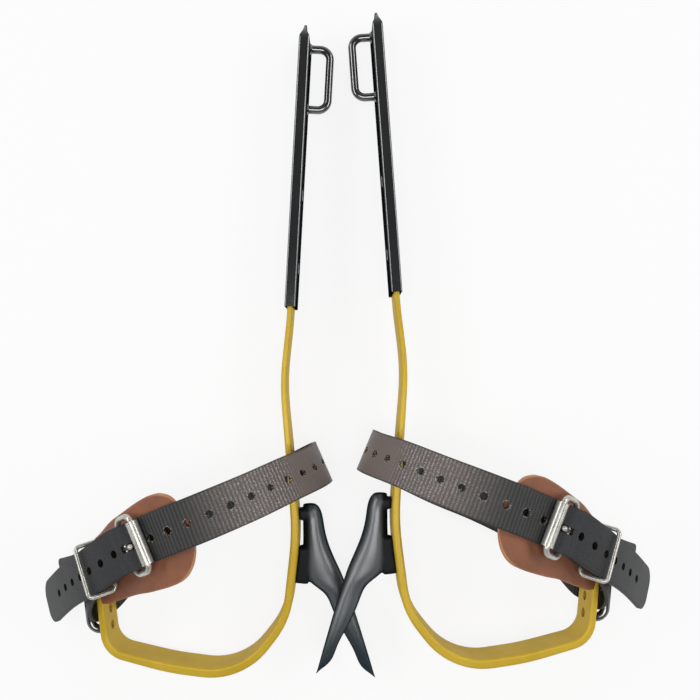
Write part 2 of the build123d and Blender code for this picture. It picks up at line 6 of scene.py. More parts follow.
import bpy
from mathutils import Matrix, Vector

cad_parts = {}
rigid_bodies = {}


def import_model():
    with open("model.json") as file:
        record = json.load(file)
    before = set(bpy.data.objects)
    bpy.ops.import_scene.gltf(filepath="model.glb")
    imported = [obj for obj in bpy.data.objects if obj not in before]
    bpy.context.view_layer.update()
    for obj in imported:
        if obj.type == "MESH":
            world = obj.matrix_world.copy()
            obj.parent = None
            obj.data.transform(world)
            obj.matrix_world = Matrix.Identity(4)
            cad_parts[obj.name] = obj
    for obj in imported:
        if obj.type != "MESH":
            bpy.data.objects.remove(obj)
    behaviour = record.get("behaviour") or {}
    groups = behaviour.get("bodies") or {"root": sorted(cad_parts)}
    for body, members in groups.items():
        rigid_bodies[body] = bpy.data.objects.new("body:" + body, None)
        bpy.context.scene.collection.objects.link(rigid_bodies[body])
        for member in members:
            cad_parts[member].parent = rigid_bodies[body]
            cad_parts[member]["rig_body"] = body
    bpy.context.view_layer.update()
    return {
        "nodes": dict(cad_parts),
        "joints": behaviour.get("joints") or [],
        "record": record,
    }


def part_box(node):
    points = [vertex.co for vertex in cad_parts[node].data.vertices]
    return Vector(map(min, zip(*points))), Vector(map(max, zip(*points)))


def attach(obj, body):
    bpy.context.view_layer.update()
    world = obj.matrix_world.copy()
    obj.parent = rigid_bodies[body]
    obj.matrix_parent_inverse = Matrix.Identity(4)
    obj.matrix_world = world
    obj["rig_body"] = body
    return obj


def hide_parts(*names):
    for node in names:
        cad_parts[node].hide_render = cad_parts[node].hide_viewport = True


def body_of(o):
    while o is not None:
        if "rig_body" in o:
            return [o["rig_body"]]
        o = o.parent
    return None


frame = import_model()
nodes = frame["nodes"]
sides = ("left", "right")

# Sizes in metres
mm = 0.001
strap_width = 25.4 * mm
strap_thickness = 2.2 * mm
strap_hole_pitch = 12.0 * mm
strap_hole_radius = 2.2 * mm
strap_hole_start = 2.2 * mm
holes_on_tail = 7
holes_on_ankle = 12
tail_round = 9.0 * mm
sewn_round = 4.0 * mm
rib_pitch = 2.15 * mm
rib_height = 0.07 * mm
yarn_pitch = 1.0 * mm
pad_width = 49.0 * mm
pad_thickness = 3.0 * mm
calf_rod = 4.6 * mm
foot_rod = 5.0 * mm

# Strap and pad as meshes: how finely they are divided, how much of the ribs' height the tail keeps, and the
# rounding and holes that are cut
columns_per_rib = 6
rows_across_strap = 14
tail_rib_share = 0.25
pad_columns = 90
rows_across_pad = 28
strap_edge_round = 0.5 * mm
pad_edge_round = 0.9 * mm
selvage_width = 1.2 * mm
tongue_slot = (6.6 * mm, 3.8 * mm)
tongue_slot_shift = -0.4 * mm
knuckle_slot = (24.0 * mm, 4.6 * mm)
cutter_height = 20.0 * mm
cutter_sides = 20

# Weld: how far its rim stands out, rises on the rod, sinks into the bar and bites into the rod
weld_flare = 1.1 * mm
weld_rise = 1.3 * mm
weld_sink = 0.3 * mm
weld_bite = 0.05 * mm

# Forged spikes: fineness of the skin, how far from the middle plane the lugs begin and are fully eased, and
# how much of that easing the blade gets
skin_fineness = 0.4 * mm
lugs_begin = 16.5 * mm
lugs_full = 21.5 * mm
blade_easing = 0.04
easing_rounds = 80

# Steps between two rows of a band, and the angles that still shade as one skin or count as an edge
band_steps = 12
skin_angle = radians(40)
edge_angle = radians(60)


def width_line(turn, rise):
    """Direction across a band: turn from -Y towards +X, and how far its lower edge is lifted."""
    turn, rise = radians(turn), radians(rise)
    return Vector((sin(turn) * cos(rise), -cos(turn) * cos(rise), sin(rise)))


# Buckle in the left climber's own frame, in millimetres and degrees
buckle_length = 13.0
buckle_turn = 24.0
buckle_rise = 5.0
buckle_ahead = Vector((0.688, 0.365, 0.609)).normalized()
buckle_up = width_line(buckle_turn, buckle_rise).cross(buckle_ahead).normalized()
roller_place = Vector((-108.7, -88.2, 69.8))
rear_bar = (roller_place - buckle_ahead * buckle_length) * mm

# How the right climber lies: the mirror image, pitched, rolled and turned
right_lie = (
    Matrix.Rotation(radians(-1.75), 3, "X")
    @ Matrix.Rotation(radians(0.7), 3, "Y")
    @ Matrix.Rotation(radians(0.95), 3, "Z")
    @ Matrix.Diagonal((-1, 1, 1))
)
bar_place = {
    side: Vector(joint["pos_m"])
    for side in sides
    for joint in frame["joints"]
    if joint["name"] == f"{side}_tongue_swing"
}


def placed(side, point):
    """A point of the left climber's own frame, on the climber where it lies."""
    offset = point - rear_bar
    return bar_place[side] + (right_lie @ offset if side == "right" else offset)


# Picture: straight down, the optical axis a little below and left of the middle of the image
sensor_width = 36
image_size = 700
optical_axis_px = (345, 376)
focal_px = 738
camera_height = 0.460


def make_camera():
    """The camera at the photograph's place, over the left climber's own origin."""
    data = bpy.data.cameras.new("camera")
    data.sensor_width = sensor_width
    data.lens = sensor_width * focal_px / image_size
    data.shift_x = (image_size / 2 - optical_axis_px[0]) / image_size
    data.shift_y = (optical_axis_px[1] - image_size / 2) / image_size
    camera = bpy.data.objects.new("camera", data)
    bpy.context.scene.collection.objects.link(camera)
    camera.location = placed("left", Vector((0, 0, camera_height)))
    bpy.context.scene.camera = camera


# Strap route, in millimetres and degrees: gaps and radii of its plies in the buckle, places that it passes,
# and how far along the tongue its hole sits
buckle_wire = 3.2
roller_diameter = 6.6
layer_gap = 0.4
rivets_from_bar = 9.0
strap_sag = {"left": 0, "right": 6.4}
half_ply = strap_thickness / mm / 2
fold_radius = buckle_wire / 2 + layer_gap + half_ply
fold_outside = fold_radius + half_ply
over_fold = fold_outside + layer_gap + half_ply
under_roller = roller_diameter / 2 + layer_gap + half_ply
weave = degrees(asin((over_fold + under_roller) / buckle_length))
ply = half_ply + layer_gap / 2
slot_middle = (-149.64, -134.55)
ankle_place = (-49.6, -64.0, 66.0)
turn_place = (-13.5, -51.5, 18.0)
tongue_diameter = 3.0
tongue_slope = radians(53)
hole_on_tongue = 0.55


def in_buckle(along, height):
    """A row of a band at a place along the buckle and a height above its middle plane."""
    point = rear_bar / mm + buckle_ahead * along + buckle_up * height
    return [*point, buckle_turn, buckle_rise]


def round_bar(bar, radius, angle):
    """A row on a circle round a bar of the buckle, the angle taken from straight above it."""
    return in_buckle(bar + radius * sin(radians(angle)), radius * cos(radians(angle)))


def by_loop(x, y, z, turn, rise):
    """A row of a band beside the middle of the slot in the loop on the riser."""
    return [slot_middle[0] + x, slot_middle[1] + y, z, turn, rise]


def strap_route(sag):
    """Foot strap from the tail, through the buckle, over the ankle, round the shank, along the ground,
    up through the loop on the riser and round the bar of the buckle to its sewn end. Each row has the place
    of the middle line, and the turn and rise of the line across."""
    ground = half_ply + layer_gap / 2 - sag
    return [
        [-182.0, -141.0, 5.0, 20.0, 14.0],
        [-173.5, -133.0, 15.5, 21.0, 16.0],
        [-161.5, -122.6, 30.0, 22.0, 18.0],
        [-148.5, -113.2, 44.8, 23.0, 17.0],
        [-135.5, -104.0, 57.0, 24.0, 11.0],
        round_bar(0, over_fold, -10),
        round_bar(0, over_fold, weave / 2),
        round_bar(0, over_fold, weave),
        round_bar(buckle_length, -under_roller, weave),
        round_bar(buckle_length, -under_roller, weave / 2),
        round_bar(buckle_length, -under_roller, 0),
        [-92.5, -81.0, 72.5, 21.5, 4.0],
        [-81.5, -76.4, 75.2, 21.5, 2.0],
        [-70.5, -72.0, 74.5, 22.0, 0.0],
        [*ankle_place, 23.0, 0.0],
        [-31.1, -56.9, 51.0, 23.6, 0.0],
        [-17.0, -52.7, 30.5, 23.6, 0.0],
        [*turn_place, 23.6, 0.0],
        [-15.8, -52.6, 8.0 - sag * 0.4, 23.6, 0.0],
        [-23.5, -56.8, ground + 0.6, 23.6, 0.0],
        [-35.0, -63.0, ground, 23.6, 0.0],
        [-58.0, -74.6, ground, 23.6, 0.0],
        [-85.0, -86.5, ground, 22.0, 0.0],
        [-108.0, -99.0, ground, 20.0, 0.0],
        [-130.0, -116.5, ground, 14.0, 0.0],
        by_loop(6.6, 2.6, ground, 9.0, 0.0),
        by_loop(1.4, -0.6, ground + 0.3, 7.0, 0.0),
        by_loop(-0.6, -1.0, 5.0 - sag * 0.5, 7.0, 0.0),
        by_loop(-0.7, -1.0, 9.5, 7.0, 0.0),
        by_loop(-1.2, -0.4, 17.0, 8.0, 2.0),
        by_loop(-3.4, 5.4, 24.0, 14.0, 8.0),
        [-145.5, -114.6, 38.6, 20.0, 16.0],
        [-134.5, -105.2, 48.8, 23.0, 12.0],
        in_buckle(-rivets_from_bar, -ply),
        in_buckle(-fold_radius * 1.25, -fold_radius * 0.80),
        round_bar(0, fold_radius, 180),
        round_bar(0, fold_radius, 135),
        round_bar(0, fold_radius, 90),
        round_bar(0, fold_radius, 45),
        round_bar(0, fold_radius, 0),
        in_buckle(-fold_radius * 1.25, fold_radius * 0.80),
        in_buckle(-rivets_from_bar, ply),
        [-135.0, -103.9, 52.4, 24.0, 11.0],
        [-148.0, -112.5, 40.2, 23.0, 17.0],
        [-168.6, -121.9, 17.0, 22.0, 18.0],
    ]


# Pad: rows as the strap's, with the share of the full width there
under_fold = in_buckle(-1.0, -(fold_outside + layer_gap + pad_thickness / mm / 2))
pad_rows = [
    [-81.4, -80.6, 70.2, 21.0, 4.0, 0.20],
    [-82.6, -80.4, 70.2, 21.0, 4.0, 0.45],
    [-85.6, -81.0, 70.0, 21.0, 4.0, 0.72],
    [-90.0, -83.4, 68.9, 21.0, 4.0, 0.91],
    [-94.6, -86.0, 67.0, 21.0, 5.0, 0.99],
    [-100.5, -89.2, 63.5, 21.5, 5.0, 1.00],
    [-107.6, -93.0, 59.5, 22.0, 5.0, 0.97],
    [under_fold[0] + 1.4, under_fold[1] - 4.0, under_fold[2] + 0.1, 23.0, 6.0, 0.93],
    [under_fold[0] - 7.0, under_fold[1] - 8.4, under_fold[2] - 7.0, 23.0, 9.0, 0.88],
    [-133.0, -108.6, 37.6, 23.0, 14.0, 0.81],
    [-139.5, -113.0, 30.6, 24.0, 17.0, 0.78],
    [-143.6, -115.6, 26.8, 24.0, 19.0, 0.76],
    [-146.4, -117.6, 24.0, 24.0, 23.0, 0.70],
]


def blended(rows, steps):
    """Rows of numbers along a smooth curve through the given rows, eased by the square roots of the gaps."""
    lead = [2 * a - b for a, b in zip(rows[0], rows[1])]
    trail = [2 * a - b for a, b in zip(rows[-1], rows[-2])]
    padded = [lead] + rows + [trail]
    gaps = [sqrt((Vector(b[:3]) - Vector(a[:3])).length) for a, b in zip(padded, padded[1:])]
    smooth = []
    for index in range(len(rows) - 1):
        u, v, w = gaps[index:index + 3]
        for step in range(steps):
            t = step / steps
            row = []
            for a, b, c, d in zip(*padded[index:index + 4]):
                leave = c - b + v * ((b - a) / u - (c - a) / (u + v))
                reach = c - b + v * ((d - c) / w - (d - b) / (v + w))
                cubic = leave + reach - 2 * (c - b)
                row.append(b + t * (leave + t * (c - b - leave - cubic + t * cubic)))
            smooth.append(row)
    return smooth + [list(rows[-1])]


# Height of the bar's middle line, and the rod loops: name, body, middle of the loop on the bar and direction
# of the bar there, how far the face of the bar and the ends of the loop lie from that middle, and the rod
bar_middle = 14.0
welded_loops = (
    ("calf_loop", "upper", (-25.01, 179.30), (0.05408, 0.99854), 3.2, 18.2, calf_rod),
    ("foot_loop", "root", (-144.483, -133.919), (-0.12187, 0.99255), 2.2, 18.4, foot_rod),
)


class Band:
    """A flat band laid along rows of place, turn and lift, measured along its middle line."""

    def __init__(self, rows, steps):
        smooth = blended(rows, steps)
        self.rows = smooth
        self.middle = [Vector(row[:3]) * mm for row in smooth]
        self.run = [0.0]
        for start, end in zip(self.middle, self.middle[1:]):
            self.run.append(self.run[-1] + (end - start).length)
        self.length = self.run[-1]
        self.across = []
        self.outward = []
        last = len(smooth) - 1
        for index, row in enumerate(smooth):
            across = width_line(row[3], row[4])
            ahead = self.middle[min(index + 1, last)] - self.middle[max(index - 1, 0)]
            self.across.append(across)
            self.outward.append(across.cross(ahead).normalized())

    def spot(self, along):
        """The row before a run, and the share of the way from it to the next."""
        index = min(max(bisect_right(self.run, along) - 1, 0), len(self.run) - 2)
        return index, (along - self.run[index]) / (self.run[index + 1] - self.run[index])

    def at(self, along, across, height):
        """The point on the laid band of a point of the flat band."""
        index, share = self.spot(along)
        middle = self.middle[index].lerp(self.middle[index + 1], share)
        side = self.across[index].lerp(self.across[index + 1], share)
        out = self.outward[index].lerp(self.outward[index + 1], share)
        return middle + side * across + out * height

    def width_share(self, along):
        """How much of a pad's full width is left at a run: the last number of its rows."""
        index, share = self.spot(along)
        return self.rows[index][-1] * (1 - share) + self.rows[index + 1][-1] * share

    def nearest(self, row):
        """The run to the place on the band nearest to a row in millimetres."""
        point = Vector(row[:3]) * mm
        index = min(range(len(self.middle)), key=lambda i: (self.middle[i] - point).length)
        return self.run[index]


strap_bands = {side: Band(strap_route(sag), band_steps) for side, sag in strap_sag.items()}
pad_band = Band(pad_rows, band_steps)
left_strap = strap_bands["left"]

# Runs along a strap from its tail to the tongue, the roller, the ankle and the turn round the shank
tongue_reach = (roller_diameter + tongue_diameter + layer_gap) / 2
tongue_tip = (buckle_length - tongue_reach * cos(tongue_slope), tongue_reach * sin(tongue_slope))
tongue_run = left_strap.nearest(in_buckle(tongue_tip[0] * hole_on_tongue, tongue_tip[1] * hole_on_tongue))
roller_run = left_strap.nearest(round_bar(buckle_length, -under_roller, 0))
ankle_run = left_strap.nearest(ankle_place)
turn_run = left_strap.nearest(turn_place)


class Link:
    """A socket in a material's node tree, so that shader maths reads as sums."""

    def __init__(self, tree, socket=None):
        self.tree = tree
        self.socket = socket

    def node(self, kind, settings=None, values=None, output=0):
        """A new node with its settings, its values or links, and one of its outputs."""
        made = self.tree.nodes.new(kind)
        for key, value in (settings or {}).items():
            setattr(made, key, value)
        for key, value in (values or {}).items():
            if isinstance(value, Link):
                self.tree.links.new(value.socket, made.inputs[key])
            else:
                made.inputs[key].default_value = value
        return Link(self.tree, made.outputs[output])

    def maths(self, operation, *others):
        """A sum with this value first."""
        return self.node("ShaderNodeMath", {"operation": operation}, dict(enumerate((self,) + others)))

    def __add__(self, other):
        return self.maths("ADD", other)

    def __sub__(self, other):
        return self.maths("SUBTRACT", other)

    def __rsub__(self, other):
        return self.maths("MULTIPLY", -1) + other

    def __mul__(self, other):
        return self.maths("MULTIPLY", other)

    __radd__ = __add__
    __rmul__ = __mul__

    def between(self, low, high, start=0.0, end=1.0):
        """This value taken from the span low to high and spread over start to end, clamped."""
        return self.node(
            "ShaderNodeMapRange",
            {"interpolation_type": "SMOOTHSTEP"},
            {"Value": self, "From Min": low, "From Max": high, "To Min": start, "To Max": end},
        )

    def tint(self, low, high):
        """A colour between two colours, by this value."""
        low, high = (colour + (1,) if isinstance(colour, tuple) else colour for colour in (low, high))
        return self.node(
            "ShaderNodeMix",
            {"data_type": "RGBA", "clamp_factor": True},
            {0: self, 6: low, 7: high},
            output=2,
        )

    def noise(self, scale, detail=2.0, roughness=0.5):
        """Noise on the vector of this link."""
        return self.node(
            "ShaderNodeTexNoise",
            {"noise_dimensions": "3D"},
            {"Vector": self, "Scale": scale, "Detail": detail, "Roughness": roughness},
        )

    def part(self, axis):
        """One number of the vector of this link."""
        return self.node("ShaderNodeSeparateXYZ", None, {0: self}, axis)

    def bump(self, distance, strength):
        """A normal from this value as a height."""
        return self.node("ShaderNodeBump", None, {"Height": self, "Distance": distance, "Strength": strength})


def finish(name, fixed, varied):
    """A material whose shader has fixed numbers, and inputs that the varied function links."""
    made = bpy.data.materials.new(name)
    made.use_nodes = True
    shader = made.node_tree.nodes["Principled BSDF"]
    for key, value in fixed.items():
        shader.inputs[key].default_value = value
    for key, link in varied(Link(made.node_tree)).items():
        made.node_tree.links.new(link.socket, shader.inputs[key])
    return made


def place_in(tree):
    """Object coordinates, in metres."""
    return tree.node("ShaderNodeTexCoord", None, None, "Object")


def flat_in(tree):
    """The run along a band, and the second value that its flat shape keeps, in metres."""
    flat = tree.node("ShaderNodeUVMap", {"uv_map": "flat"})
    return flat.part(0), flat.part(1)


def face_on(tree, full, none):
    """Shine that is full where a surface is seen face on and gone where it is seen along its skin."""
    glancing = tree.node("ShaderNodeLayerWeight", None, {"Blend": 0.5}, "Facing")
    return glancing.between(full, none, 1, 0)


def gold_enamel(tree):
    """Gold paint over flat bar: slow changes of tone, a fine orange-peel skin."""
    where = place_in(tree)
    cloudy = where.noise(38, 3)
    peel = where.noise(800, 2)
    return {
        "Base Color": cloudy.between(0.35, 0.7).tint((0.53, 0.355, 0.033), (0.60, 0.408, 0.045)),
        "Roughness": cloudy.between(0.3, 0.7, 0.36, 0.44),
        "Coat Weight": face_on(tree, 0.45, 0.9) * 0.15 + 0.1,
        "Normal": peel.bump(0.05 * mm, 0.3),
    }


def black_coat(tree):
    """Glossy black enamel, thin and a little uneven."""
    where = place_in(tree)
    patchy = where.noise(60, 3)
    peel = where.noise(900, 2)
    return {
        "Base Color": patchy.between(0.3, 0.7).tint((0.004, 0.005, 0.006), (0.008, 0.010, 0.011)),
        "Roughness": patchy.between(0.3, 0.7, 0.24, 0.33),
        "Coat Weight": face_on(tree, 0.45, 0.88),
        "Normal": peel.bump(0.05 * mm, 0.08),
    }


def forged_steel(tree):
    """Satin blue-black steel, dull at the point, with the black scale of the forge left round the lugs."""
    where = place_in(tree)
    from_middle = where.part(0).maths("ABSOLUTE")
    from_point = where.part(1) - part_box("left_gaff")[0][1]
    near_middle = from_middle.between(18.5 * mm, 23.5 * mm, 1, 0)
    polish = from_point.between(8 * mm, 55 * mm, 0.1, 1)
    scale = where.noise(110, 4, 0.6)
    pits = where.noise(1300, 3)
    steel = scale.between(0.35, 0.7).tint((0.014, 0.024, 0.030), (0.022, 0.034, 0.041))
    return {
        "Base Color": near_middle.tint((0.008, 0.010, 0.012), steel),
        "Roughness": scale.between(0.3, 0.7, 0.36, 0.44),
        "Coat Weight": face_on(tree, 0.12, 0.6) * near_middle.between(0, 1, 0.05, 1) * polish,
        "Normal": (scale * 0.5 + pits * 0.5).bump(0.06 * mm, 0.2),
    }


def nickel(tree):
    """Nickel plate: bright, with a faint dull bloom."""
    where = place_in(tree)
    dull = where.noise(180, 3)
    return {
        "Base Color": dull.between(0.35, 0.7).tint((0.48, 0.47, 0.43), (0.56, 0.55, 0.505)),
        "Roughness": dull.between(0.3, 0.7, 0.24, 0.32),
    }


def plated(tree):
    """Dark plating on screws and rivets, with a dull bloom."""
    where = place_in(tree)
    dull = where.noise(420, 3)
    return {
        "Base Color": dull.between(0.35, 0.7).tint((0.030, 0.032, 0.033), (0.055, 0.057, 0.057)),
        "Roughness": dull.between(0.3, 0.7, 0.30, 0.45),
    }


def webbing(tree):
    """Woven strap: a plain grey tail painted lighter towards its tip as painted sheen, dark uneven ribs past
    the roller with painted rib shading (crests lighter, valleys darker), a painted brown sheen with painted
    glints over the ankle, smooth where it turns down, hole walls painted dark as painted shade, broken pale
    cut-yarn specks round the holes painted bright as glints."""
    along, across = flat_in(tree)
    where = place_in(tree)
    fuzz = where.noise(900, 3)
    speck = where.noise(1500, 2)
    wander = where.noise(90, 3)
    crest = (along * (2 * pi / rib_pitch) + fuzz * 1.6).maths("COSINE").between(-1, 1)
    yarn = (across * (2 * pi / yarn_pitch)).maths("SINE") * crest
    ribbed = along.between(roller_run - 4 * mm, roller_run + 4 * mm)
    smooth_end = along.between(ankle_run + 20 * mm, ankle_run + 34 * mm)
    # painted sheen: the run over the ankle is painted brown to stand for light on the sloping strap; the same
    # mask also lowers the roughness there
    gloss_and_painted_sheen = along.between(roller_run + 22 * mm, ankle_run) * along.between(turn_run, turn_run + 30 * mm, 1, 0)
    # where the painted glints go
    glint_zone = along.between(roller_run + 30 * mm, ankle_run + 6 * mm)
    glint_zone = glint_zone * along.between(ankle_run + 18 * mm, ankle_run + 35 * mm, 1, 0)
    # painted sheen: the tail is painted lighter grey over its last 55 mm towards the tip
    painted_tip_sheen = along.between(0, 55 * mm, 1, 0)
    tail = speck.between(0.35, 0.65).tint(
        painted_tip_sheen.tint((0.012, 0.013, 0.015), (0.028, 0.030, 0.031)),
        painted_tip_sheen.tint((0.026, 0.027, 0.029), (0.052, 0.054, 0.055)),
    )
    # painted rib shading: rib crests painted lighter and valleys darker, mixed with random specks
    painted_rib_light = crest * 0.7 + speck.between(0.3, 0.7) * 0.3
    ribs = painted_rib_light.tint((0.008, 0.009, 0.009), (0.046, 0.047, 0.045))
    # painted sheen colours: brown ribs over the ankle, and a smooth brown past it
    sheen_ribs = painted_rib_light.tint((0.080, 0.064, 0.057), (0.150, 0.123, 0.110))
    sheen_brown = smooth_end.tint(sheen_ribs, (0.142, 0.116, 0.106))
    # painted glints: pale flecks on the ribs over the ankle
    painted_glints = (speck * 0.88 + crest * 0.12).between(0.54, 0.70) * glint_zone * 0.8
    cloth = painted_glints.tint(gloss_and_painted_sheen.tint(ribbed.tint(tail, ribs), sheen_brown), (0.42, 0.41, 0.42))
    from_edge = strap_width / 2 - across.maths("ABSOLUTE")
    selvage = from_edge.between(0.3 * mm, selvage_width, 1, 0)
    cloth = (selvage * 0.7).tint(cloth, (0.012, 0.011, 0.011))
    hole = along - (tongue_run + strap_hole_start - strap_hole_pitch * (holes_on_tail + 0.5))
    hole = hole.maths("MODULO", strap_hole_pitch) - strap_hole_pitch / 2
    reach = (hole * hole + across * across).maths("SQRT")
    # painted shade: hole walls painted near black
    hole_shade = reach.between(strap_hole_radius, strap_hole_radius + 0.2 * mm, 1, 0)
    # pale specks of cut yarn round the holes, painted bright as glints: partly the yarn's own colour, partly
    # a painted highlight
    cut_yarn_and_glints = reach.between(strap_hole_radius, strap_hole_radius + 0.6 * mm, 1, 0) * ribbed
    cloth = hole_shade.tint(cloth, (0.010, 0.009, 0.008))
    relief = crest * ribbed * (1 - smooth_end) * 0.5 + yarn * 0.2 + fuzz * 0.3
    return {
        "Base Color": (cut_yarn_and_glints * speck.between(0.54, 0.62)).tint(cloth, (0.50, 0.45, 0.37)),
        "Roughness": gloss_and_painted_sheen.between(0, 1, 0.52, 0.40) + wander * 0.1,
        "Normal": relief.bump(0.2 * mm, 0.7),
    }


def leather(tree):
    """Brown harness leather: fine grain, cloudy tone, painted shade under the strap, a lighter raw edge
    painted brighter at the pad's end as a painted highlight.
    """
    along, from_edge = flat_in(tree)
    margin = from_edge.maths("MINIMUM", along + 2 * mm)
    where = place_in(tree)
    cloudy = where.noise(48, 4, 0.6)
    cells = where.node(
        "ShaderNodeTexVoronoi", {"feature": "DISTANCE_TO_EDGE"}, {"Vector": where, "Scale": 1100})
    pores = where.noise(800, 4)
    tone = cloudy.between(0.3, 0.75).tint((0.215, 0.080, 0.040), (0.315, 0.120, 0.060))
    # painted shade: the middle of the pad, under the strap, painted near black
    near_middle = from_edge.between(15 * mm, 16.5 * mm)
    # a lighter raw cut edge all round, painted brighter at the pad's end as a painted highlight
    raw_edge_and_highlight = margin.between(0.3 * mm, 1.3 * mm, 1, 0) * along.between(8 * mm, 22 * mm, 1, 0.2)
    grain = cells.between(0, 0.25) * 0.5 + pores * 0.5
    return {
        "Base Color": raw_edge_and_highlight.tint(near_middle.tint(tone, (0.020, 0.010, 0.007)), (0.46, 0.205, 0.085)),
        "Roughness": cloudy.between(0.3, 0.7, 0.46, 0.60),
        "Normal": grain.bump(0.18 * mm, 0.4),
    }


def select_only(piece):
    """Selects one piece and makes it the active one."""
    bpy.ops.object.select_all(action="DESELECT")
    piece.select_set(True)
    bpy.context.view_layer.objects.active = piece


def modify(piece, kind, **settings):
    """Adds a modifier and applies it."""
    select_only(piece)
    made = piece.modifiers.new(kind.lower(), kind)
    for key, value in settings.items():
        setattr(made, key, value)
    bpy.ops.object.modifier_apply(modifier=made.name)


def edit_all(piece, *steps):
    """Runs steps of edit mode on all of a piece."""
    select_only(piece)
    bpy.ops.object.mode_set(mode="EDIT")
    bpy.ops.mesh.select_all(action="SELECT")
    for step in steps:
        step()
    bpy.ops.object.mode_set(mode="OBJECT")


def face_outwards():
    """A step of edit mode: turns the selected faces outwards."""
    bpy.ops.mesh.normals_make_consistent(inside=False)


def flat_grid(name, length, width, columns, rows):
    """A flat sheet from x = 0 along X, with its middle line on y = 0."""
    bpy.ops.object.select_all(action="DESELECT")
    bpy.ops.mesh.primitive_grid_add(x_subdivisions=columns, y_subdivisions=rows, size=1)
    piece = bpy.context.object
    piece.name = name
    piece.data.transform(Matrix.Translation((0.5, 0, 0)))
    piece.data.transform(Matrix.Diagonal((length, width, 1, 1)))
    return piece


def corner_share(distance, radius, width):
    """Half the width left at a distance from a rounded end, as a share of the full half width."""
    short = radius - min(max(distance, 0.0), radius)
    return (width / 2 - radius + sqrt(radius ** 2 - short ** 2)) / (width / 2)


def punch(piece, holes):
    """Cuts upright holes in the middle line: (x, length, width), round where the length is nothing."""
    bpy.ops.object.select_all(action="DESELECT")
    cutters = []
    for x, length, width in holes:
        if length:
            bpy.ops.mesh.primitive_cube_add(size=1, location=(x, 0, 0), scale=(length, width, cutter_height))
        else:
            bpy.ops.mesh.primitive_cylinder_add(
                vertices=cutter_sides, radius=width / 2, depth=cutter_height, location=(x, 0, 0))
        cutters.append(bpy.context.object)
    for cutter in cutters:
        cutter.select_set(True)
    bpy.context.view_layer.objects.active = cutters[0]
    bpy.ops.object.join()
    cutter = bpy.context.object
    modify(piece, "BOOLEAN", operation="DIFFERENCE", object=cutter, solver="EXACT")
    bpy.data.objects.remove(cutter)


def note_flat(piece, second):
    """Keeps the flat shape as a UV map: the run along, and a second value of the flat point."""
    for layer in list(piece.data.uv_layers):
        piece.data.uv_layers.remove(layer)
    layer = piece.data.uv_layers.new(name="flat")
    for loop in piece.data.loops:
        point = piece.data.vertices[loop.vertex_index].co
        layer.data[loop.index].uv = (point.x, second(point))


def lay(piece, side, laid):
    """Moves each flat point to its place on a climber and turns the faces outwards."""
    for vertex in piece.data.vertices:
        vertex.co = placed(side, laid(vertex.co))
    edit_all(piece, face_outwards)
    bpy.ops.object.shade_smooth_by_angle(angle=skin_angle)


def paint(piece, material):
    """Gives a piece or a node its only material."""
    piece.data.materials.clear()
    piece.data.materials.append(material)


def dress(piece, body, node, material):
    """A new piece rides on a body, stands for a node and has its finish."""
    paint(piece, material)
    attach(piece, body)
    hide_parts(node)


def foot_strap(side, material):
    """Webbing cut flat, ribbed across, punched, then laid along its route."""
    band = strap_bands[side]
    columns = round(band.length / rib_pitch) * columns_per_rib
    piece = flat_grid(f"{side}_webbing_strap", band.length, strap_width, columns, rows_across_strap)
    for vertex in piece.data.vertices:
        share = min(
            corner_share(vertex.co.x, tail_round, strap_width),
            corner_share(band.length - vertex.co.x, sewn_round, strap_width),
        )
        vertex.co.y *= share
    modify(piece, "SOLIDIFY", thickness=strap_thickness, offset=0)
    modify(piece, "BEVEL", width=strap_edge_round, segments=2, limit_method="ANGLE", angle_limit=edge_angle)
    for vertex in piece.data.vertices:
        valley = (1 - cos(2 * pi * vertex.co.x / rib_pitch)) / 2
        plain = tail_rib_share if vertex.co.x < roller_run else 1.0
        selvage = min(1.0, (strap_width / 2 - abs(vertex.co.y)) / selvage_width)
        vertex.co.z *= 1 - valley * plain * selvage * rib_height / (strap_thickness / 2)
    holes = [
        (tongue_run + strap_hole_start + strap_hole_pitch * step, 0, 2 * strap_hole_radius)
        for step in range(-holes_on_tail, holes_on_ankle)
        if step
    ]
    holes.append((tongue_run + tongue_slot_shift, *tongue_slot))
    holes.append((band.nearest(round_bar(0, fold_radius, 90)), *knuckle_slot))
    punch(piece, holes)
    note_flat(piece, lambda point: point.y)
    lay(piece, side, lambda point: band.at(*point))
    dress(piece, "root", f"{side}_foot_strap", material)


def leather_pad(side, material):
    """Teardrop of thick leather with a softened edge."""
    piece = flat_grid(f"{side}_pad", pad_band.length, 1.0, pad_columns, rows_across_pad)
    for vertex in piece.data.vertices:
        vertex.co.y *= pad_width * pad_band.width_share(vertex.co.x)
    modify(piece, "SOLIDIFY", thickness=pad_thickness, offset=0)
    modify(piece, "BEVEL", width=pad_edge_round, segments=3, limit_method="ANGLE", angle_limit=edge_angle)
    note_flat(piece, lambda point: pad_width / 2 * pad_band.width_share(point.x) - abs(point.y))
    lay(piece, side, lambda point: pad_band.at(*point))
    dress(piece, "root", f"{side}_leather_pad", material)


